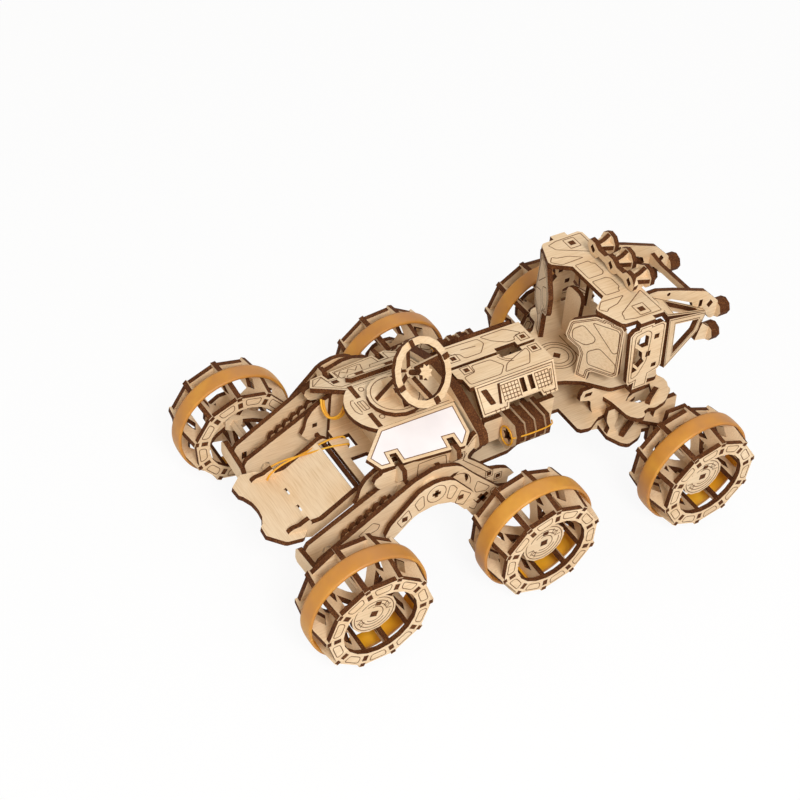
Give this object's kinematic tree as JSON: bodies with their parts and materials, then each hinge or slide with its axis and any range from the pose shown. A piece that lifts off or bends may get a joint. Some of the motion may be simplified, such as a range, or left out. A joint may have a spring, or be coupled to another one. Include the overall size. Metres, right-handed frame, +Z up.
{
  "type": "plywood mars rover toy",
  "caption": "Six-wheeled plywood model rover with an open-nosed cab, bogie beams, side tanks, a leaning dish on a turntable and a hinged tail ramp.",
  "frame": {"origin": "on the floor, below the middle of the bounding box", "axes": "+X forward, towards the nose; +Y left; +Z up"},
  "size_m": [0.3066, 0.188, 0.1429],
  "materials": {
    "birch_ply": "matte",
    "rubber_band": "matte"
  },
  "bodies": {
    "antenna": {"antenna_dish": "birch_ply", "antenna_turntable": "birch_ply"},
    "chassis": {"arch_ribs": "birch_ply", "belly_plate": "birch_ply", "bogie_cover_left": "birch_ply", "bogie_cover_right": "birch_ply", "bogie_inner_left": "birch_ply", "bogie_inner_right": "birch_ply", "bogie_outer_left": "birch_ply", "bogie_outer_right": "birch_ply", "bogie_spacers": "birch_ply", "cab_floor": "birch_ply", "cab_rear_panel_left": "birch_ply", "cab_rear_panel_right": "birch_ply", "cab_roof": "birch_ply", "cab_seats": "birch_ply", "cab_side_left": "birch_ply", "cab_side_right": "birch_ply", "cargo_bulkhead": "birch_ply", "cargo_floor": "birch_ply", "cargo_walls": "birch_ply", "front_knuckle_left": "birch_ply", "front_knuckle_right": "birch_ply", "front_lower_arms": "birch_ply", "front_spines": "birch_ply", "front_subframe": "birch_ply", "front_upper_arms": "birch_ply", "hull_frames": "birch_ply", "hull_side_left": "birch_ply", "hull_side_right": "birch_ply", "keypad_panel_left": "birch_ply", "keypad_panel_right": "birch_ply", "nose_frame": "birch_ply", "nose_lamps": "birch_ply", "nose_panels": "birch_ply", "rear_deck": "birch_ply", "roof_lamps": "birch_ply", "roof_panel_left": "birch_ply", "roof_panel_right": "birch_ply", "sloped_panel_left": "birch_ply", "sloped_panel_right": "birch_ply", "tank_left": "birch_ply", "tank_right": "birch_ply"},
    "ramp": {"ramp_floor": "birch_ply", "ramp_lip": "birch_ply", "ramp_sides": "birch_ply"},
    "wheel_front_left": {"tyre_front_left": "rubber_band", "wheel_front_left": "birch_ply"},
    "wheel_front_right": {"tyre_front_right": "rubber_band", "wheel_front_right": "birch_ply"},
    "wheel_mid_left": {"tyre_mid_left": "rubber_band", "wheel_mid_left": "birch_ply"},
    "wheel_mid_right": {"tyre_mid_right": "rubber_band", "wheel_mid_right": "birch_ply"},
    "wheel_rear_left": {"tyre_rear_left": "rubber_band", "wheel_rear_left": "birch_ply"},
    "wheel_rear_right": {"tyre_rear_right": "rubber_band", "wheel_rear_right": "birch_ply"}
  },
  "joints": [
    {"name": "roll_rear_left", "type": "hinge", "parent": "chassis", "child": "wheel_rear_left", "pos_m": [-0.11775, 0.077, 0.0356], "axis": [0, 1, 0], "continuous": true},
    {"name": "roll_rear_right", "type": "hinge", "parent": "chassis", "child": "wheel_rear_right", "pos_m": [-0.11775, -0.077, 0.0356], "axis": [0, 1, 0], "continuous": true},
    {"name": "roll_mid_left", "type": "hinge", "parent": "chassis", "child": "wheel_mid_left", "pos_m": [-0.01, 0.077, 0.0356], "axis": [0, 1, 0], "continuous": true},
    {"name": "roll_mid_right", "type": "hinge", "parent": "chassis", "child": "wheel_mid_right", "pos_m": [-0.01, -0.077, 0.0356], "axis": [0, 1, 0], "continuous": true},
    {"name": "roll_front_left", "type": "hinge", "parent": "chassis", "child": "wheel_front_left", "pos_m": [0.10167, 0.077, 0.0356], "axis": [0, 1, 0], "continuous": true},
    {"name": "roll_front_right", "type": "hinge", "parent": "chassis", "child": "wheel_front_right", "pos_m": [0.10167, -0.077, 0.0356], "axis": [0, 1, 0], "continuous": true},
    {"name": "ramp_swing", "type": "hinge", "parent": "chassis", "child": "ramp", "pos_m": [-0.089, 0, 0.0528], "axis": [0, 1, 0], "range_deg": [0, 102]},
    {"name": "antenna_turn", "type": "hinge", "parent": "chassis", "child": "antenna", "pos_m": [-0.0578, 0, 0.0916], "axis": [0, 0, 1], "continuous": true}
  ]
}
